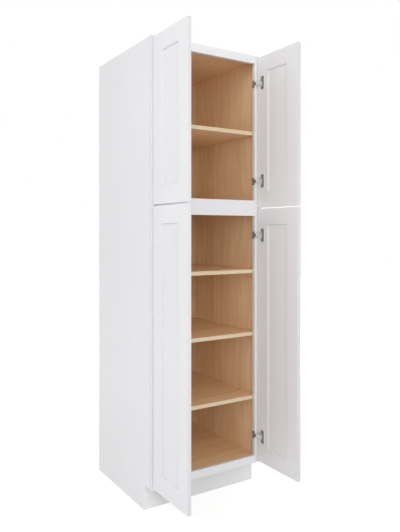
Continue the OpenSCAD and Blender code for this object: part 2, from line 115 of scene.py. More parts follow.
class Tree:
    """A node tree that is being built.

    Args:
        tree: the tree of a material, a world or a node group.
    """

    def __init__(self, tree: bpy.types.NodeTree) -> None:
        """Empties the tree and keeps it."""
        self.tree = tree
        tree.nodes.clear()

    def feed(self, socket: Socket, value: Value) -> None:
        """Gives an input its value.

        Args:
            socket: the input.
            value: a constant, or the output that feeds the input.
        """
        if isinstance(value, Socket):
            self.tree.links.new(value, socket)
        else:
            socket.default_value = value

    def add(self, kind: str, values: dict[str | int, Value] | None = None,
            **settings: object) -> bpy.types.Node:
        """Adds a node.

        Args:
            kind: the node's type name.
            values: socket name or index to a constant or to the output that feeds it.
            settings: properties of the node itself.

        Returns:
            The new node.
        """
        node = self.tree.nodes.new(kind)
        for name, value in settings.items():
            setattr(node, name, value)
        for socket, value in (values or {}).items():
            self.feed(node.inputs[socket], value)
        return node

    def math(self, operation: str, *values: Value) -> Socket:
        """Adds a Math node and returns its output."""
        node = self.add("ShaderNodeMath", dict(enumerate(values)), operation=operation)
        return node.outputs[0]

    def blend(self, factor: Value, low: Value, high: Value) -> Socket:
        """Mixes two colours.

        Args:
            factor: 0 for the first colour and 1 for the second.
            low: the first colour.
            high: the second colour.

        Returns:
            The mixed colour.
        """
        node = self.add("ShaderNodeMix", data_type="RGBA")
        values = {"Factor_Float": factor, "A_Color": low, "B_Color": high}
        for socket in node.inputs:
            if socket.identifier in values:
                self.feed(socket, values[socket.identifier])
        return next(s for s in node.outputs if s.identifier == "Result_Color")

    def remap(self, value: Value, span: Span, to: Span = FULL) -> Socket:
        """Maps a value from one range to another.

        Args:
            value: the value.
            span: the range that it comes in.
            to: the range that it goes to.

        Returns:
            The mapped value, clamped to its new range.
        """
        node = self.add("ShaderNodeMapRange", {
            "Value": value, "From Min": span[0], "From Max": span[1],
            "To Min": to[0], "To Max": to[1]})
        return node.outputs["Result"]

    def vector_math(self, operation: str, *values: Value) -> Socket:
        """Adds a Vector Math node and returns its vector."""
        node = self.add("ShaderNodeVectorMath", dict(enumerate(values)), operation=operation)
        return node.outputs[0]

    def swing(self, value: Value) -> Socket:
        """Moves a value that lies round a half so that it lies round zero."""
        return self.math("SUBTRACT", value, HALF)


@dataclass(frozen=True)
class Noise:
    """A layer of noise.

    Attributes:
        scale: its swells to the metre, either one number for all directions or three
            for across, through and along the grain.
        detail: number of finer octaves.
        roughness: strength of each octave beside the one before it.
    """

    scale: float | tuple[float, float, float]
    detail: float = 2.0
    roughness: float = 0.5

    def add(self, tree: Tree, vector: Socket) -> Socket:
        """Adds the noise to a tree.

        Args:
            tree: the tree.
            vector: the place that the noise is read at.

        Returns:
            The noise's value.
        """
        scale = self.scale
        if isinstance(scale, tuple):
            vector, scale = tree.vector_math("MULTIPLY", vector, scale), 1.0
        node = tree.add("ShaderNodeTexNoise", {
            "Vector": vector, "Scale": scale, "Detail": self.detail,
            "Roughness": self.roughness})
        return node.outputs["Fac"]


@dataclass(frozen=True)
class Arches:
    """The pointed arches in the figure of sliced wood.

    Attributes:
        stretch: scale across, through and along the grain.
        scale: scale of the arches as a whole.
        distortion: how much the lines bend into arches.
        detail: number of finer octaves of the bending.
        detail_scale: scale of the bending.
    """

    stretch: tuple[float, float, float] = (8.0, 8.0, 2.0)
    scale: float = 0.7
    distortion: float = 7.0
    detail: float = 2.0
    detail_scale: float = 1.2

    def add(self, tree: Tree, vector: Socket) -> Socket:
        """Adds the arches to a tree.

        Args:
            tree: the tree.
            vector: the place that the figure is read at.

        Returns:
            The arches' value.
        """
        node = tree.add("ShaderNodeTexWave", {
            "Vector": tree.vector_math("MULTIPLY", vector, self.stretch),
            "Scale": self.scale, "Distortion": self.distortion, "Detail": self.detail,
            "Detail Scale": self.detail_scale}, wave_type="BANDS", bands_direction="X")
        return node.outputs["Fac"]


def new_group(name: str, numbers: tuple[str, ...],
              results: tuple[str, ...]) -> tuple[Tree, bpy.types.Node, bpy.types.Node]:
    """Starts a shader node group that takes a vector and some numbers.

    Args:
        name: the group's name.
        numbers: names of its inputs, beside the input called Vector.
        results: names of its outputs.

    Returns:
        The group's tree, its input node and its output node.
    """
    group = bpy.data.node_groups.new(name, "ShaderNodeTree")
    group.interface.new_socket(name="Vector", in_out="INPUT",
                               socket_type="NodeSocketVector")
    for label in numbers:
        group.interface.new_socket(name=label, in_out="INPUT",
                                   socket_type="NodeSocketFloat")
    for label in results:
        group.interface.new_socket(name=label, in_out="OUTPUT",
                                   socket_type="NodeSocketFloat")
    tree = Tree(group)
    return tree, tree.add("NodeGroupInput"), tree.add("NodeGroupOutput")


@dataclass(frozen=True)
class VeneerFigure:
    """The figure of sliced veneer, whose grain runs along the vector's Z.

    Attributes:
        leaf_shift: how far the figures of two sheets may lie apart, across and along.
        wander: noise that the grain wanders with.
        wander_depth: how far it wanders sideways, in metres.
        bands: broad bands of tone.
        bands_weight: their weight in the tone.
        streaks: streaks along the grain, weighted by an input of the group.
        fibres: the finest lines.
        fibres_weight: their weight in the tone.
        arches: the pointed arches.
        arches_weight: their weight in the tone.
        relief: shares of the fibres and of the streaks in the height.
    """

    leaf_shift: tuple[float, float] = (7.0, 3.0)
    wander: Noise = Noise((2.5, 2.5, 1.8), 1.0, 0.5)
    wander_depth: float = 0.14
    bands: Noise = Noise((9.0, 9.0, 2.0), 3.0, 0.5)
    bands_weight: float = 1.5
    streaks: Noise = Noise((36.0, 36.0, 8.0), 4.0, 0.6)
    fibres: Noise = Noise((430.0, 430.0, 22.0), 3.0, 0.65)
    fibres_weight: float = 0.6
    arches: Arches = Arches()
    arches_weight: float = 0.3
    relief: tuple[float, float] = (0.6, 0.4)

    def build(self) -> bpy.types.NodeTree:
        """Builds the node group.

        Returns:
            A group that puts out Tone, from pale to dark, and Height for a bump.
        """
        tree, source, output = new_group(
            "veneer_figure", ("Leaf Width", "Leaf Step", "Streaks", "Seed"),
            ("Tone", "Height"))
        inputs = source.outputs
        parts = tree.add("ShaderNodeSeparateXYZ", {0: inputs["Vector"]})
        leaf = tree.math("FLOOR", tree.math("DIVIDE", parts.outputs[0],
                                            inputs["Leaf Width"]))
        pick = tree.add("ShaderNodeTexWhiteNoise",
                        {"W": tree.math("ADD", leaf, inputs["Seed"])},
                        noise_dimensions="1D").outputs["Value"]
        shift = tree.add("ShaderNodeCombineXYZ", {
            0: tree.math("MULTIPLY", pick, self.leaf_shift[0]), 1: inputs["Seed"],
            2: tree.math("MULTIPLY", pick, self.leaf_shift[1])})
        place = tree.vector_math("ADD", inputs["Vector"], shift.outputs[0])
        wander = tree.swing(self.wander.add(tree, place))
        drift = tree.add("ShaderNodeCombineXYZ",
                         {0: tree.math("MULTIPLY", wander, self.wander_depth)})
        place = tree.vector_math("ADD", place, drift.outputs[0])
        bands = self.bands.add(tree, place)
        streaks = self.streaks.add(tree, place)
        fibres = self.fibres.add(tree, place)
        arches = self.arches.add(tree, place)
        tone = tree.math("MULTIPLY", tree.swing(bands), self.bands_weight)
        for value, weight in ((streaks, inputs["Streaks"]), (fibres, self.fibres_weight),
                              (arches, self.arches_weight)):
            tone = tree.math("MULTIPLY_ADD", tree.swing(value), weight, tone)
        leaf_tone = tree.math("MULTIPLY", tree.swing(pick), inputs["Leaf Step"])
        tone = tree.math("ADD", tree.math("ADD", tone, leaf_tone), HALF)
        tree.feed(output.inputs["Tone"], tree.add("ShaderNodeClamp", {0: tone}).outputs[0])
        height = tree.math("MULTIPLY_ADD", fibres, self.relief[0],
                           tree.math("MULTIPLY", streaks, self.relief[1]))
        tree.feed(output.inputs["Height"], height)
        return tree.tree


@dataclass(frozen=True)
class Skin:
    """A fine surface that wraps a paint or a plating.

    Attributes:
        name: the node group's name.
        tone: noise of the faint changes in colour.
        gloss: noise of the changes in gloss.
        main: the main noise of the relief.
        other: its other noise.
        relief: shares of the two in the height.
    """

    name: str
    tone: Noise
    gloss: Noise
    main: Noise
    other: Noise
    relief: tuple[float, float]

    def build(self) -> bpy.types.NodeTree:
        """Builds the node group.

        Returns:
            A group that puts out Tone, Gloss and Height, each about 0 to 1.
        """
        tree, source, output = new_group(self.name, (), ("Tone", "Gloss", "Height"))
        place = source.outputs["Vector"]
        main = tree.math("MULTIPLY", self.main.add(tree, place), self.relief[0])
        height = tree.math("MULTIPLY_ADD", self.other.add(tree, place), self.relief[1],
                           main)
        tree.feed(output.inputs["Tone"], self.tone.add(tree, place))
        tree.feed(output.inputs["Gloss"], self.gloss.add(tree, place))
        tree.feed(output.inputs["Height"], height)
        return tree.tree


@dataclass(frozen=True)
class PlyLayers:
    """The layers seen on the cut edge of plywood.

    Attributes:
        ply: thickness of two neighbouring plies, in metres.
        wander: noise that the layers wander with.
        wander_depth: how far they wander, in metres.
        border: where, in half a cycle of 0 to 0.5, one ply ends and the next begins.
        fibre: noise of the cut fibres.
    """

    ply: float = 2.8 * MM
    wander: Noise = Noise(14.0, 1.0, 0.5)
    wander_depth: float = 0.4 * MM
    border: Span = (0.21, 0.29)
    fibre: Noise = Noise(900.0, 2.0, 0.6)

    def build(self) -> bpy.types.NodeTree:
        """Builds the node group.

        Returns:
            A group that puts out Layer, 0 for long grain and 1 for end grain, and Fibre.
        """
        tree, source, output = new_group("ply_layers", ("Depth",), ("Layer", "Fibre"))
        place = source.outputs["Vector"]
        depth = tree.math("MULTIPLY_ADD", self.wander.add(tree, place),
                          self.wander_depth, source.outputs["Depth"])
        phase = tree.math("FRACT", tree.math("DIVIDE", depth, self.ply))
        layer = tree.remap(tree.math("PINGPONG", phase, HALF), self.border)
        tree.feed(output.inputs["Layer"], layer)
        tree.feed(output.inputs["Fibre"], self.fibre.add(tree, place))
        return tree.tree


class Groups:
    """The node groups that the finishes share, each built once."""

    def __init__(self) -> None:
        """Builds the groups."""
        self.veneer = VeneerFigure().build()
        self.paint = Skin("paint_skin", tone=Noise(2.6), gloss=Noise(34.0, 2.0, 0.6),
                          main=Noise(520.0, 1.0, 0.4), other=Noise((240.0, 240.0, 6.0)),
                          relief=(0.85, 0.15)).build()
        lines = Noise((900.0, 900.0, 120.0), 2.0, 0.6)
        self.plating = Skin("plated_steel", tone=Noise(160.0, 2.0, 0.55), gloss=lines,
                            main=lines, other=Noise(1400.0, 1.0, 0.5),
                            relief=(0.5, 0.5)).build()
        self.ply_layers = PlyLayers().build()


GROUPS = Groups()


# Finishes


@dataclass(frozen=True)
class Lay:
    """How a board's grain lies.

    Attributes:
        along: direction of the grain.
        across: direction across the grain, in the face that is seen most.
    """

    along: Axis
    across: Axis

    def vector(self, tree: Tree) -> Socket:
        """Reads Object coordinates in the grain's own order.

        Args:
            tree: the material's tree.

        Returns:
            The place as (across, depth, along).
        """
        depth = next(a for a in Axis if a not in (self.along, self.across))
        place = tree.add("ShaderNodeTexCoord").outputs["Object"]
        parts = tree.add("ShaderNodeSeparateXYZ", {0: place})
        order = (self.across, depth, self.along)
        joined = tree.add("ShaderNodeCombineXYZ",
                          {i: parts.outputs[a.value] for i, a in enumerate(order)})
        return joined.outputs[0]


UPRIGHT = Lay(Axis.Z, Axis.Y)
UPRIGHT_WIDE = Lay(Axis.Z, Axis.X)
LEVEL_WIDE = Lay(Axis.X, Axis.Y)
LEVEL_DEEP = Lay(Axis.Y, Axis.Z)
LEVEL_EDGE = Lay(Axis.X, Axis.Z)


@dataclass(frozen=True)
class Relief:
    """How strongly a surface's height shows.

    Attributes:
        strength: the bump's strength.
        depth: the bump's depth in metres.
    """

    strength: float
    depth: float

    def add(self, tree: Tree, height: Socket) -> Socket:
        """Adds the bump to a tree.

        Args:
            tree: the material's tree.
            height: the height that feeds the bump.

        Returns:
            The bumped normal.
        """
        bump = tree.add("ShaderNodeBump", {"Height": height, "Strength": self.strength,
                                           "Distance": self.depth})
        return bump.outputs[0]


def start_material(name: str) -> tuple[bpy.types.Material, Tree]:
    """Makes an empty material.

    Args:
        name: the material's name.

    Returns:
        The material and its tree.
    """
    material = bpy.data.materials.new(name)
    material.use_nodes = True
    return material, Tree(material.node_tree)


def finish_surface(tree: Tree, normal: Socket, **sockets: Value) -> None:
    """Adds the surface shader.

    Args:
        tree: the material's tree.
        normal: the bumped normal.
        sockets: shader inputs, with spaces written as underscores.
    """
    values = {label.replace("_", " "): value for label, value in sockets.items()}
    shader = tree.add("ShaderNodeBsdfPrincipled", {**values, "Normal": normal})
    tree.add("ShaderNodeOutputMaterial", {"Surface": shader.outputs[0]})


def opaque(color: Color) -> tuple[float, float, float, float]:
    """Adds a full alpha to a colour."""
    return (*color, 1.0)


@dataclass(frozen=True)
class PaintFinish:
    """Sprayed satin paint.

    Attributes:
        name: the material's name.
        lay: how the wood's grain lies under the paint.
        color: the paint's colour.
        shade: the colour of its faint darker clouds.
        roughness: lowest and highest roughness.
        relief: the orange peel and the grain under it.
        specular: strength of the reflection.
    """

    name: str
    lay: Lay
    color: Color = (0.815, 0.815, 0.833)
    shade: Color = (0.798, 0.797, 0.814)
    roughness: Span = (0.38, 0.46)
    relief: Relief = Relief(0.08, 0.05 * MM)
    specular: float = 0.4

    def build(self) -> bpy.types.Material:
        """Builds the material.

        Returns:
            The material.
        """
        material, tree = start_material(self.name)
        skin = tree.add("ShaderNodeGroup", {"Vector": self.lay.vector(tree)},
                        node_tree=GROUPS.paint).outputs
        color = tree.blend(tree.remap(skin["Tone"], MIDDLE),
                           opaque(self.color), opaque(self.shade))
        rough = tree.remap(skin["Gloss"], MIDDLE, self.roughness)
        finish_surface(tree, self.relief.add(tree, skin["Height"]), Base_Color=color,
                       Roughness=rough, Specular_IOR_Level=self.specular)
        return material


@dataclass(frozen=True)
class MapleFinish:
    """Maple veneer under a clear satin coat.

    Attributes:
        name: the material's name.
        lay: how the grain lies.
        light: the colour of the palest wood.
        dark: the colour of the darkest wood.
        leaf_width: width of one sheet of veneer, in metres.
        leaf_step: how much two neighbouring sheets may differ in tone.
        streaks: weight of the streaks along the grain.
        roughness: lowest and highest roughness.
        seed: shifts the figure, so that boards differ.
        relief: the pores and the fibres.
        specular: strength of the reflection.
    """

    name: str
    lay: Lay
    light: Color = (0.945, 0.695, 0.45)
    dark: Color = (0.82, 0.55, 0.32)
    leaf_width: float = 0.21
    leaf_step: float = 0.22
    streaks: float = 0.7
    roughness: Span = (0.36, 0.5)
    seed: float = 0.0
    relief: Relief = Relief(0.25, 0.12 * MM)
    specular: float = 0.35

    def build(self) -> bpy.types.Material:
        """Builds the material.

        Returns:
            The material.
        """
        material, tree = start_material(self.name)
        values = {"Vector": self.lay.vector(tree), "Leaf Width": self.leaf_width,
                  "Leaf Step": self.leaf_step, "Streaks": self.streaks,
                  "Seed": self.seed}
        figure = tree.add("ShaderNodeGroup", values, node_tree=GROUPS.veneer).outputs
        color = tree.blend(figure["Tone"], opaque(self.light), opaque(self.dark))
        rough = tree.remap(figure["Tone"], FULL, self.roughness)
        finish_surface(tree, self.relief.add(tree, figure["Height"]), Base_Color=color,
                       Roughness=rough, Specular_IOR_Level=self.specular)
        return material


@dataclass(frozen=True)
class PlyEdgeFinish:
    """The cut edge of plywood.

    Attributes:
        name: the material's name.
        depth_axis: direction through the board's thickness.
        light: colour of the plies with long grain.
        dark: colour of the plies with end grain.
        speckled: the fibre values that shade from clear to speckled.
        speckle: how dark the speckles get at most.
        roughness: lowest and highest roughness.
        relief: the cut fibres.
        specular: strength of the reflection.
    """

    name: str
    depth_axis: Axis
    light: Color = (0.62, 0.46, 0.29)
    dark: Color = (0.36, 0.235, 0.13)
    speckled: Span = (0.4, 0.7)
    speckle: float = 0.45
    roughness: Span = (0.7, 0.85)
    relief: Relief = Relief(0.5, 0.3 * MM)
    specular: float = 0.2

    def build(self) -> bpy.types.Material:
        """Builds the material.

        Returns:
            The material.
        """
        material, tree = start_material(self.name)
        place = tree.add("ShaderNodeTexCoord").outputs["Object"]
        depth = tree.add("ShaderNodeSeparateXYZ",
                         {0: place}).outputs[self.depth_axis.value]
        layers = tree.add("ShaderNodeGroup", {"Vector": place, "Depth": depth},
                          node_tree=GROUPS.ply_layers).outputs
        color = tree.blend(layers["Layer"], opaque(self.light), opaque(self.dark))
        spots = tree.remap(layers["Fibre"], self.speckled, (0.0, self.speckle))
        color = tree.blend(spots, color, opaque(self.dark))
        rough = tree.remap(layers["Fibre"], MIDDLE, self.roughness)
        finish_surface(tree, self.relief.add(tree, layers["Fibre"]), Base_Color=color,
                       Roughness=rough, Specular_IOR_Level=self.specular)
        return material


@dataclass(frozen=True)
class PlatedFinish:
    """Stamped steel with a nickel-like plating.

    Attributes:
        name: the material's name.
        color: the metal's colour.
        shade: the colour of its duller patches.
        roughness: lowest and highest roughness.
        metallic: share of the surface that acts as bare metal.
        patches: the tone values that shade from one colour to the other.
        relief: the fine lines and pits.
    """

    name: str
    color: Color
    shade: Color
    roughness: Span
    metallic: float = 1.0
    patches: Span = (0.35, 0.65)
    relief: Relief = Relief(0.2, 0.05 * MM)

    def build(self) -> bpy.types.Material:
        """Builds the material.

        Returns:
            The material.
        """
        material, tree = start_material(self.name)
        place = tree.add("ShaderNodeTexCoord").outputs["Object"]
        plate = tree.add("ShaderNodeGroup", {"Vector": place},
                         node_tree=GROUPS.plating).outputs
        color = tree.blend(tree.remap(plate["Tone"], self.patches),
                           opaque(self.color), opaque(self.shade))
        rough = tree.remap(plate["Gloss"], MIDDLE, self.roughness)
        finish_surface(tree, self.relief.add(tree, plate["Height"]), Base_Color=color,
                       Roughness=rough, Metallic=self.metallic)
        return material


@dataclass(frozen=True)
class ClearPlasticFinish:
    """Soft translucent plastic of the door bumpers.

    Attributes:
        name: the material's name.
        color: the plastic's colour.
        shade: the colour of its faint clouds.
        roughness: lowest and highest roughness.
        clouds: noise of the clouds, which the relief follows.
        relief: the faint unevenness of its surface.
    """

    name: str
    color: Color = (0.82, 0.82, 0.825)
    shade: Color = (0.79, 0.79, 0.8)
    roughness: Span = (0.22, 0.34)
    clouds: Noise = Noise(420.0)
    relief: Relief = Relief(0.1, 0.05 * MM)

    def build(self) -> bpy.types.Material:
        """Builds the material.

        Returns:
            The material.
        """
        material, tree = start_material(self.name)
        place = tree.add("ShaderNodeTexCoord").outputs["Object"]
        cloud = self.clouds.add(tree, place)
        color = tree.blend(cloud, opaque(self.color), opaque(self.shade))
        rough = tree.remap(cloud, MIDDLE, self.roughness)
        finish_surface(tree, self.relief.add(tree, cloud), Base_Color=color,
                       Roughness=rough)
        return material


class Finishes:
    """Every finish of the cabinet, built once."""

    def __init__(self) -> None:
        """Builds the finishes of the paint, the wood and the fittings."""
        self.build_paint()
        self.build_wood()
        self.build_fittings()

    def build_paint(self) -> None:
        """Builds the paint of the box and doors, the frame and the doors' edges; the frame's
        and the edges' paints are darker as painted shade.
        """
        self.paint_upright = PaintFinish("white_paint_upright", UPRIGHT).build()
        self.paint_wide = PaintFinish("white_paint_wide", LEVEL_WIDE).build()
        self.paint_deep = PaintFinish("white_paint_deep", LEVEL_DEEP).build()
        # The frame's paint is greyer than the doors', the stiles most: painted shade on the
        # frame's front.
        self.frame_upright_painted_shade = PaintFinish(
            "frame_paint_upright_painted_shade", UPRIGHT,
            color=(0.745, 0.745, 0.763), shade=(0.73, 0.729, 0.746)).build()
        self.frame_wide_painted_shade = PaintFinish(
            "frame_paint_wide_painted_shade", LEVEL_WIDE,
            color=(0.78, 0.78, 0.798), shade=(0.764, 0.763, 0.78)).build()
        # The doors' edge paint is darker than their faces': painted shade on the faces that
        # look to the front or rear.
        self.painted_shade_edge = PaintFinish(
            "white_painted_shade_edge", UPRIGHT,
            color=(0.66, 0.658, 0.67), shade=(0.64, 0.638, 0.65)).build()

    def build_wood(self) -> None:
        """Builds the coated veneer, the raw veneer, the blocks and the cut edges."""
        self.maple_side = MapleFinish("maple_side", UPRIGHT, seed=3.0).build()
        # The back's maple is darker than the sides': painted shade at the rear of the deep
        # box.
        self.maple_back_painted_shade = MapleFinish(
            "maple_back_painted_shade", UPRIGHT_WIDE, light=(0.66, 0.455, 0.27),
            dark=(0.56, 0.36, 0.195), seed=11.0).build()
        self.maple_level = MapleFinish(
            "maple_level", LEVEL_WIDE, light=(0.93, 0.67, 0.42),
            dark=(0.79, 0.515, 0.29), streaks=0.45, seed=5.0).build()
        self.banding = MapleFinish(
            "maple_banding", LEVEL_EDGE, light=(0.77, 0.635, 0.44),
            dark=(0.69, 0.545, 0.355), leaf_step=0.0, seed=23.0).build()
        raw = {"light": (0.66, 0.5, 0.33), "dark": (0.5, 0.345, 0.2),
               "roughness": (0.62, 0.75)}
        self.raw_wide = MapleFinish("raw_ply_wide", UPRIGHT_WIDE, seed=31.0, **raw).build()
        self.raw_level = MapleFinish("raw_ply_level", LEVEL_WIDE, seed=37.0, **raw).build()
        self.block = MapleFinish(
            "bare_block", UPRIGHT, light=(0.7, 0.53, 0.34), dark=(0.52, 0.35, 0.19),
            leaf_step=0.0, roughness=(0.65, 0.8), seed=47.0).build()
        self.edge_x = PlyEdgeFinish("ply_edge_x", Axis.X).build()
        self.edge_y = PlyEdgeFinish("ply_edge_y", Axis.Y).build()
        self.edge_z = PlyEdgeFinish("ply_edge_z", Axis.Z).build()

    def build_fittings(self) -> None:
        """Builds the metals of the hinges, screws and pins, and the bumpers' plastic."""
        self.nickel = PlatedFinish(
            "satin_nickel", color=(0.78, 0.785, 0.79), shade=(0.7, 0.705, 0.71),
            roughness=(0.34, 0.46), metallic=0.45).build()
        # Pale nickel of the cups: painted reflection, paler than the same metal on the flange
        # tops.
        self.cup = PlatedFinish(
            "pale_nickel_painted_reflection", color=(0.86, 0.86, 0.865), shade=(0.79, 0.79, 0.795),
            roughness=(0.36, 0.48), metallic=0.35).build()
        # Dark nickel: the plates' own colour, and painted shade on the flange tops and the
        # arms' risers.
        self.dark = PlatedFinish(
            "dark_nickel_and_painted_shade", color=(0.4, 0.394, 0.392), shade=(0.31, 0.306, 0.305),
            roughness=(0.4, 0.52), metallic=0.35).build()
        self.screw = PlatedFinish(
            "dark_screw", color=(0.17, 0.168, 0.168), shade=(0.12, 0.12, 0.12),
            roughness=(0.3, 0.42), metallic=0.8).build()
        self.pin = PlatedFinish(
            "bright_pin", color=(0.56, 0.56, 0.55), shade=(0.5, 0.5, 0.49),
            roughness=(0.2, 0.3)).build()
        # The shelf pins are tinted like the maple round them: painted reflection of the wood.
        self.stud = PlatedFinish(
            "shelf_pin_nickel_painted_reflection", color=(0.82, 0.66, 0.5), shade=(0.76, 0.6, 0.44),
            roughness=(0.5, 0.62)).build()
        self.bumper = ClearPlasticFinish("clear_bumper").build()


# Meshes


@dataclass(frozen=True)
class Softening:
    """How a piece's mesh is cleaned and its sharp edges are rounded.

    Attributes:
        width: width of the rounding in metres.
        segments: faces across the rounding.
        least_edge: shorter edges, such as those round a hole, stay as they are.
        sharp: least angle between two faces of an edge that is rounded, in degrees.
        merge: points closer than this are one, in metres.
        flat: neighbouring faces within this angle become one, in degrees.
        smooth: edges up to this angle are shaded smooth, in degrees.
        face_weight: how much a larger face outweighs a smaller one in the shading.
    """

    width: float
    segments: int = 2
    least_edge: float = 4.0 * MM
    sharp: float = 30.0
    merge: float = 0.002 * MM
    flat: float = 0.4
    smooth: float = 32.0
    face_weight: int = 100

    def clean(self, shape: bmesh.types.BMesh) -> None:
        """Merges double points and joins the triangles of flat faces.

        Args:
            shape: the bmesh.
        """
        bmesh.ops.remove_doubles(shape, verts=shape.verts, dist=self.merge)
        bmesh.ops.dissolve_limit(shape, angle_limit=math.radians(self.flat),
                                 verts=shape.verts, edges=shape.edges)
        shape.normal_update()

    def round_edges(self, shape: bmesh.types.BMesh) -> None:
        """Rounds the sharp edges.

        Args:
            shape: the bmesh.
        """
        chosen = [edge for edge in shape.edges
                  if len(edge.link_faces) == 2
                  and edge.calc_face_angle(0.0) > math.radians(self.sharp)
                  and edge.calc_length() > self.least_edge]
        bmesh.ops.bevel(shape, geom=chosen, offset=self.width, offset_type="OFFSET",
                        segments=self.segments, profile=0.5, affect="EDGES", material=-1,
                        clamp_overlap=False)

    def shade(self, piece: bpy.types.Object) -> None:
        """Shades a piece smooth over its roundings and flat on its faces.

        Args:
            piece: the piece.
        """
        piece.data.shade_smooth()
        piece.data.set_sharp_from_angle(angle=math.radians(self.smooth))
        flatten = piece.modifiers.new("flat_faces", "WEIGHTED_NORMAL")
        flatten.keep_sharp = True
        flatten.weight = self.face_weight


def only(material: bpy.types.Material) -> tuple[list[bpy.types.Material], FaceRule]:
    """One material for every face of a piece."""
    return [material], lambda centre, normal: 0


@dataclass(kw_only=True)
class SubAssembly:
    """What the cabinet's sub-assemblies share.

    Attributes:
        finishes: the cabinet's finishes.
        board_edge: how the boards' edges are rounded.
        metal_edge: how the edges of metal parts and bumpers are rounded.
    """

    finishes: Finishes
    board_edge: Softening = Softening(0.35 * MM)
    metal_edge: Softening = Softening(0.12 * MM, least_edge=0.6 * MM)

    def board(self, node: str, slot: Slot, materials: list[bpy.types.Material],
              rule: FaceRule) -> None:
        """Dresses a board."""
        self.dress(node, slot, materials, rule, self.board_edge)

    def fitting(self, node: str, slot: Slot, materials: list[bpy.types.Material],
                rule: FaceRule) -> None:
        """Dresses a metal part or a bumper."""
        self.dress(node, slot, materials, rule, self.metal_edge)

    @staticmethod
    def dress(node: str, slot: Slot, materials: list[bpy.types.Material],
              rule: FaceRule, softening: Softening) -> None:
        """Shows a copy of a CAD node with rounded edges and its finish.

        Args:
            node: the CAD node's name.
            slot: the record's finish; not used.
            materials: the materials of the piece.
            rule: picks a material's index from a face's centre and normal.
            softening: how sharp edges are rounded.
        """
        source = frame["nodes"][node]
        shape = bmesh.new()
        shape.from_mesh(source.data)
        softening.clean(shape)
        for face in shape.faces:
            face.material_index = rule(face.calc_center_median(), face.normal)
        softening.round_edges(shape)
        mesh = bpy.data.meshes.new(node + "_dressed")
        shape.to_mesh(mesh)
        shape.free()
        for material in materials:
            mesh.materials.append(material)
        piece = bpy.data.objects.new(node + "_dressed", mesh)
        softening.shade(piece)
        bpy.context.scene.collection.objects.link(piece)
        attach(piece, source["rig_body"])
        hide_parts(node)
        log.info("dressed %s", node)


@dataclass(kw_only=True)
class Carcase(SubAssembly):
    """The plywood box: sides, top, bottom, middle shelf, back, base and loose shelves.

    Attributes:
        facing: a face looks along an axis if its normal has more than this share there.
    """

    facing: float = 0.7

    def build(self) -> None:
        """Dresses every board of the box."""
        self.sides()
        self.level_boards()
        self.back()
        self.base()
        self.shelves()

    def sides(self) -> None:
        """Paints the outside of the side panels and leaves their inside maple."""
        f = self.finishes
        for side, outward in (("left", -1.0), ("right", 1.0)):
            self.board(f"side_panel_{side}", Slot.PAINT,
                       [f.paint_upright, f.maple_side, f.edge_x],
                       partial(self.side_rule, outward))

    def side_rule(self, outward: float, centre: Vector, normal: Vector) -> int:
        """Picks the material of a side panel's face.

        Args:
            outward: -1 for the left panel and 1 for the right one.
            centre: the face's middle; not used.
            normal: the face's normal.

        Returns:
            Index 0 for a painted face, 1 for the inside and 2 for the bare top and rear.
        """
        side = normal.x * outward
        if side < -self.facing:
            return 1
        bare = side <= self.facing and max(normal.y, normal.z) > self.facing
        return 2 if bare else 0

    def level_boards(self) -> None:
        """Dresses the top, bottom and middle boards, bare where nobody looks."""
        maple, raw = self.finishes.maple_level, self.finishes.raw_level
        faces = {"top_panel": (raw, maple), "bottom_panel": (maple, raw),
                 "middle_shelf": (maple, maple)}
        for name, (upper, lower) in faces.items():
            self.board(name, Slot.MAPLE, [upper, lower, self.finishes.edge_z],
                       self.level_rule)

    def level_rule(self, centre: Vector, normal: Vector) -> int:
        """Picks the material of a level board's face.

        Args:
            centre: the face's middle; not used.
            normal: the face's normal.

        Returns:
            Index 0 for the upper face, 1 for the lower face and 2 for an edge.
        """
        if abs(normal.z) <= self.facing:
            return 2
        return 0 if normal.z > 0.0 else 1

    def back(self) -> None:
        """Dresses the back panel and the screws that hold it."""
        f = self.finishes
        self.board("back_panel", Slot.MAPLE, [f.maple_back_painted_shade, f.raw_wide, f.edge_y],
                   self.back_rule)
        self.fitting("back_screws", Slot.SCREW, *only(f.screw))

    def back_rule(self, centre: Vector, normal: Vector) -> int:
        """Picks the material of the back panel's face.

        Args:
            centre: the face's middle; not used.
            normal: the face's normal.

        Returns:
            Index 0 for the front, 1 for the rear and 2 for an edge.
        """
        if abs(normal.y) <= self.facing:
            return 2
        return 0 if normal.y < 0.0 else 1

    def base(self) -> None:
        """Dresses the toe kick board, raw but for its front, and the glue blocks."""
        f = self.finishes
        self.board("toe_kick_board", Slot.PAINT, [f.paint_wide, f.raw_wide],
                   self.front_rule)
        self.board("corner_blocks", Slot.BARE, *only(f.block))

    def front_rule(self, centre: Vector, normal: Vector) -> int:
        """Index 0 for a board's front and 1 for the rest of it."""
        return 0 if normal.y < -self.facing else 1

    def shelves(self) -> None:
        """Dresses the loose shelves, their edge banding and their pins."""
        f = self.finishes
        for name in ("upper_bay_shelf", "lower_bay_high_shelf", "lower_bay_mid_shelf",
                     "lower_bay_low_shelf"):
            self.board(name, Slot.MAPLE, [f.maple_level, f.maple_level, f.edge_z],
                       self.level_rule)
        self.board("shelf_edge_bands", Slot.BANDING, *only(f.banding))
        self.fitting("shelf_pins", Slot.NICKEL, *only(f.stud))


@dataclass(kw_only=True)
class FaceFrame(SubAssembly):
    """The painted frame on the front of the box, with the bumpers that doors meet."""

    def build(self) -> None:
        """Dresses the stiles, the rails and the bumpers."""
        f = self.finishes
        # The frame takes the greyer paint, which is painted shade.
        for side in ("left", "right"):
            self.board(f"frame_stile_{side}", Slot.PAINT, *only(f.frame_upright_painted_shade))
        for place in ("top", "middle", "bottom"):
            self.board(f"frame_{place}_rail", Slot.PAINT, *only(f.frame_wide_painted_shade))
        self.fitting("door_bumpers", Slot.BUMPER, *only(f.bumper))


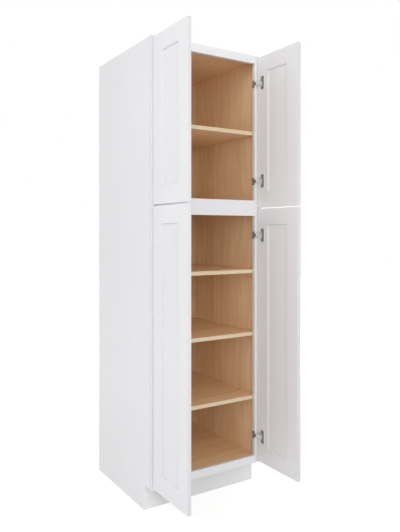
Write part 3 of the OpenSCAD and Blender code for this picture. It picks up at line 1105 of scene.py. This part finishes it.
@dataclass(kw_only=True)
class Door(SubAssembly):
    """One framed door with its flat panel and the hinge parts it carries.

    Attributes:
        name: the door's body.
        flange_top: distance of the flange plates' tops from the cabinet's middle, with
            the door open, in metres.
        tolerance: how far a face may lie off that distance, in metres.
        edge_share: a face is an upright edge if its normal has more than this share
            towards the front or rear.
    """

    name: DoorName
    flange_top: float = 279.35 * MM
    tolerance: float = 0.05 * MM
    edge_share: float = 0.5

    def build(self) -> None:
        """Dresses the door's five boards and its hinge parts."""
        f, name = self.finishes, self.name.value
        boards = {"hinge_stile": f.paint_upright, "lock_stile": f.paint_upright,
                  "panel": f.paint_upright, "top_rail": f.paint_deep,
                  "bottom_rail": f.paint_deep}
        # Faces that look to the front or rear take the darker edge paint, which is painted
        # shade.
        for part, paint in boards.items():
            self.board(f"{name}_{part}", Slot.PAINT, [paint, f.painted_shade_edge],
                       self.board_rule)
        # The flange tops take the dark finish as painted shade and the rest of each cup the
        # pale one as painted reflection.
        self.fitting(f"{name}_hinge_cups", Slot.DARK, [f.dark, f.cup], self.cup_shade_and_reflection_rule)
        self.fitting(f"{name}_hinge_pins", Slot.PIN, *only(f.pin))
        self.fitting(f"{name}_cup_screws", Slot.SCREW, *only(f.screw))

    def board_rule(self, centre: Vector, normal: Vector) -> int:
        """Index 0 for the wide faces of an open door and 1 for its upright edges, which take
        the darker paint as painted shade.
        """
        return 1 if abs(normal.y) > self.edge_share else 0

    def cup_shade_and_reflection_rule(self, centre: Vector, normal: Vector) -> int:
        """Index 0 for the top of a flange plate, darker as painted shade, and 1 for the rest
        of a cup, paler as painted reflection.
        """
        return 0 if abs(centre.x) < self.flange_top + self.tolerance else 1


@dataclass(kw_only=True)
class HingeArms(SubAssembly):
    """The hinge parts that are fixed to the face frame.

    Attributes:
        riser_share: a face belongs to a riser if its normal has more than this share
            towards a side of the cabinet.
    """

    riser_share: float = 0.5

    def build(self) -> None:
        """Dresses the plates, the arms and their screws."""
        f = self.finishes
        self.fitting("hinge_plates", Slot.DARK, *only(f.dark))
        # The risers' sideways faces take the dark finish: painted shade on the one nickel of
        # the arms.
        self.fitting("hinge_arms", Slot.NICKEL, [f.nickel, f.dark], self.arm_painted_shade_rule)
        for name in ("hinge_plate_screws", "hinge_adjusting_screws"):
            self.fitting(name, Slot.SCREW, *only(f.screw))

    def arm_painted_shade_rule(self, centre: Vector, normal: Vector) -> int:
        """Index 0 for an arm's lever and 1 for the riser that lies on the plate, whose
        sideways faces take the dark finish as painted shade.
        """
        return 1 if abs(normal.x) > self.riser_share else 0


# Studio


@dataclass(frozen=True)
class Lamp:
    """A square area lamp.

    Attributes:
        name: the lamp's name.
        place: where it hangs, in metres.
        side: length of its side in metres.
        power: its power in watts.
        target: what it points at, in metres.
    """

    name: str
    place: tuple[float, float, float]
    side: float
    power: float
    target: tuple[float, float, float] = (0.0, -0.4, 1.1)

    def build(self) -> None:
        """Hangs the lamp, unseen by the camera."""
        data = bpy.data.lights.new(self.name, "AREA")
        data.shape = "SQUARE"
        data.size = self.side
        data.energy = self.power
        lamp = bpy.data.objects.new(self.name, data)
        lamp.location = self.place
        aim = Vector(self.place) - Vector(self.target)
        lamp.rotation_euler = aim.to_track_quat("Z", "Y").to_euler()
        lamp.visible_camera = False
        bpy.context.scene.collection.objects.link(lamp)


@dataclass(frozen=True)
class Camera:
    """The camera, level and at the photograph's viewing angle.

    Attributes:
        place: its place in metres.
        turn: its turn from +Y towards +X, in degrees.
        tilt: its tilt from straight down, in degrees; 90 is level.
        lens: focal length in millimetres.
        sensor: long side of the sensor in millimetres.
        shift: sideways and upward shift, as shares of the long side.
    """

    place: tuple[float, float, float] = (-1.4752, -2.8952, 1.2587)
    turn: float = 33.11
    tilt: float = 90.0
    lens: float = 39.099
    sensor: float = 36.0
    shift: tuple[float, float] = (-0.02316, -0.06333)

    def build(self) -> None:
        """Places the camera."""
        data = bpy.data.cameras.new("camera")
        data.sensor_width = self.sensor
        data.lens = self.lens
        data.shift_x, data.shift_y = self.shift
        camera = bpy.data.objects.new("camera", data)
        camera.location = self.place
        camera.rotation_euler = (math.radians(self.tilt), 0.0, -math.radians(self.turn))
        bpy.context.scene.collection.objects.link(camera)
        bpy.context.scene.camera = camera


@dataclass(frozen=True)
class Floor:
    """A pale floor that is white to the camera and keeps a faint shadow.

    Attributes:
        radius: radius of the disc in metres.
        segments: sides of the disc.
        bounce: the colour that lights the cabinet from below.
        seen: the colour that takes shadows under the camera's eye.
        glow_reach: distances from the cabinet's middle between which the glow grows.
        glow: the glow at those two distances.
        grit: noise of its surface.
        relief: how strongly the grit shows.
    """

    radius: float = 14.0
    segments: int = 96
    bounce: Color = (0.86, 0.86, 0.86)
    seen: Color = (0.42, 0.42, 0.42)
    glow_reach: Span = (0.9, 2.6)
    glow: Span = (0.72, 1.0)
    grit: Noise = Noise(300.0)
    relief: Relief = Relief(0.05, 0.1 * MM)

    def build(self) -> None:
        """Lays the floor."""
        shape = bmesh.new()
        bmesh.ops.create_circle(shape, cap_ends=True, radius=self.radius,
                                segments=self.segments)
        mesh = bpy.data.meshes.new("floor")
        shape.to_mesh(mesh)
        shape.free()
        mesh.materials.append(self.material())
        floor = bpy.data.objects.new("floor", mesh)
        bpy.context.scene.collection.objects.link(floor)

    def material(self) -> bpy.types.Material:
        """Builds the floor's material.

        Returns:
            The material.
        """
        material, tree = start_material("studio_floor")
        place = tree.add("ShaderNodeTexCoord").outputs["Object"]
        normal = self.relief.add(tree, self.grit.add(tree, place))
        matte, seen = (tree.add("ShaderNodeBsdfDiffuse", {
            "Color": opaque(color), "Normal": normal}) for color in (self.bounce, self.seen))
        away = tree.add("ShaderNodeVectorMath", {0: place}, operation="LENGTH")
        strength = tree.remap(away.outputs["Value"], self.glow_reach, self.glow)
        glow = tree.add("ShaderNodeEmission", {"Color": opaque(WHITE),
                                               "Strength": strength})
        lit = tree.add("ShaderNodeAddShader", {0: seen.outputs[0], 1: glow.outputs[0]})
        ray = tree.add("ShaderNodeLightPath").outputs
        direct = tree.math("MAXIMUM", ray["Is Camera Ray"], ray["Is Glossy Ray"])
        mix = tree.add("ShaderNodeMixShader", {0: direct, 1: matte.outputs[0],
                                               2: lit.outputs[0]})
        tree.add("ShaderNodeOutputMaterial", {"Surface": mix.outputs[0]})
        return material


@dataclass(frozen=True)
class Studio:
    """The camera, the floor, the white surroundings and the lamps.

    Attributes:
        camera: the camera.
        floor: the floor.
        sky: strength of the surroundings as light.
        seen_sky: their strength to the camera and in reflections.
        lamps: the area lamps.
    """

    camera: Camera = Camera()
    floor: Floor = Floor()
    sky: float = 0.6
    seen_sky: float = 1.0
    lamps: tuple[Lamp, ...] = (
        Lamp("front_lamp", (-1.3, -4.2, 1.5), 1.4, 37.5),
        Lamp("upper_lamp", (-1.5, -3.6, 2.7), 1.2, 10.0, (0.0, -0.3, 1.8)),
        Lamp("high_lamp", (-2.6, -3.0, 3.2), 2.0, 15.0, (0.0, -0.5, 1.3)),
        Lamp("left_lamp", (-4.2, -2.6, 3.4), 2.0, 45.0, (0.0, -0.4, 1.4)),
        Lamp("right_lamp", (4.2, -1.2, 1.6), 3.0, 52.0),
        Lamp("back_lamp", (0.8, 4.0, 1.7), 3.0, 64.0),
    )

    def build(self) -> None:
        """Sets up everything that isn't the object."""
        self.camera.build()
        self.floor.build()
        self.surroundings()
        for lamp in self.lamps:
            lamp.build()
        bpy.context.scene.view_settings.view_transform = "Standard"
        log.info("set up the studio with %d lamps", len(self.lamps))

    def surroundings(self) -> None:
        """Makes the world an even light that the camera sees as white."""
        world = bpy.data.worlds.new("studio")
        bpy.context.scene.world = world
        world.use_nodes = True
        tree = Tree(world.node_tree)
        ray = tree.add("ShaderNodeLightPath").outputs
        seen = tree.math("MAXIMUM", ray["Is Camera Ray"],
                         tree.math("MAXIMUM", ray["Is Glossy Ray"],
                                   ray["Is Transmission Ray"]))
        light, white = (tree.add("ShaderNodeBackground", {
            "Color": opaque(WHITE), "Strength": power}) for power in (self.sky, self.seen_sky))
        mix = tree.add("ShaderNodeMixShader", {0: seen, 1: light.outputs[0],
                                               2: white.outputs[0]})
        tree.add("ShaderNodeOutputWorld", {"Surface": mix.outputs[0]})


def write_sizes() -> None:
    """Updates the view layer."""
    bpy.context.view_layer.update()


def main() -> None:
    """Builds the cabinet's looks and the studio round it."""
    logging.basicConfig(level=logging.INFO)
    Studio().build()
    finishes = Finishes()
    Carcase(finishes=finishes).build()
    FaceFrame(finishes=finishes).build()
    for name in DoorName:
        Door(finishes=finishes, name=name).build()
    HingeArms(finishes=finishes).build()
    write_sizes()


if __name__ == "__main__":
    main()
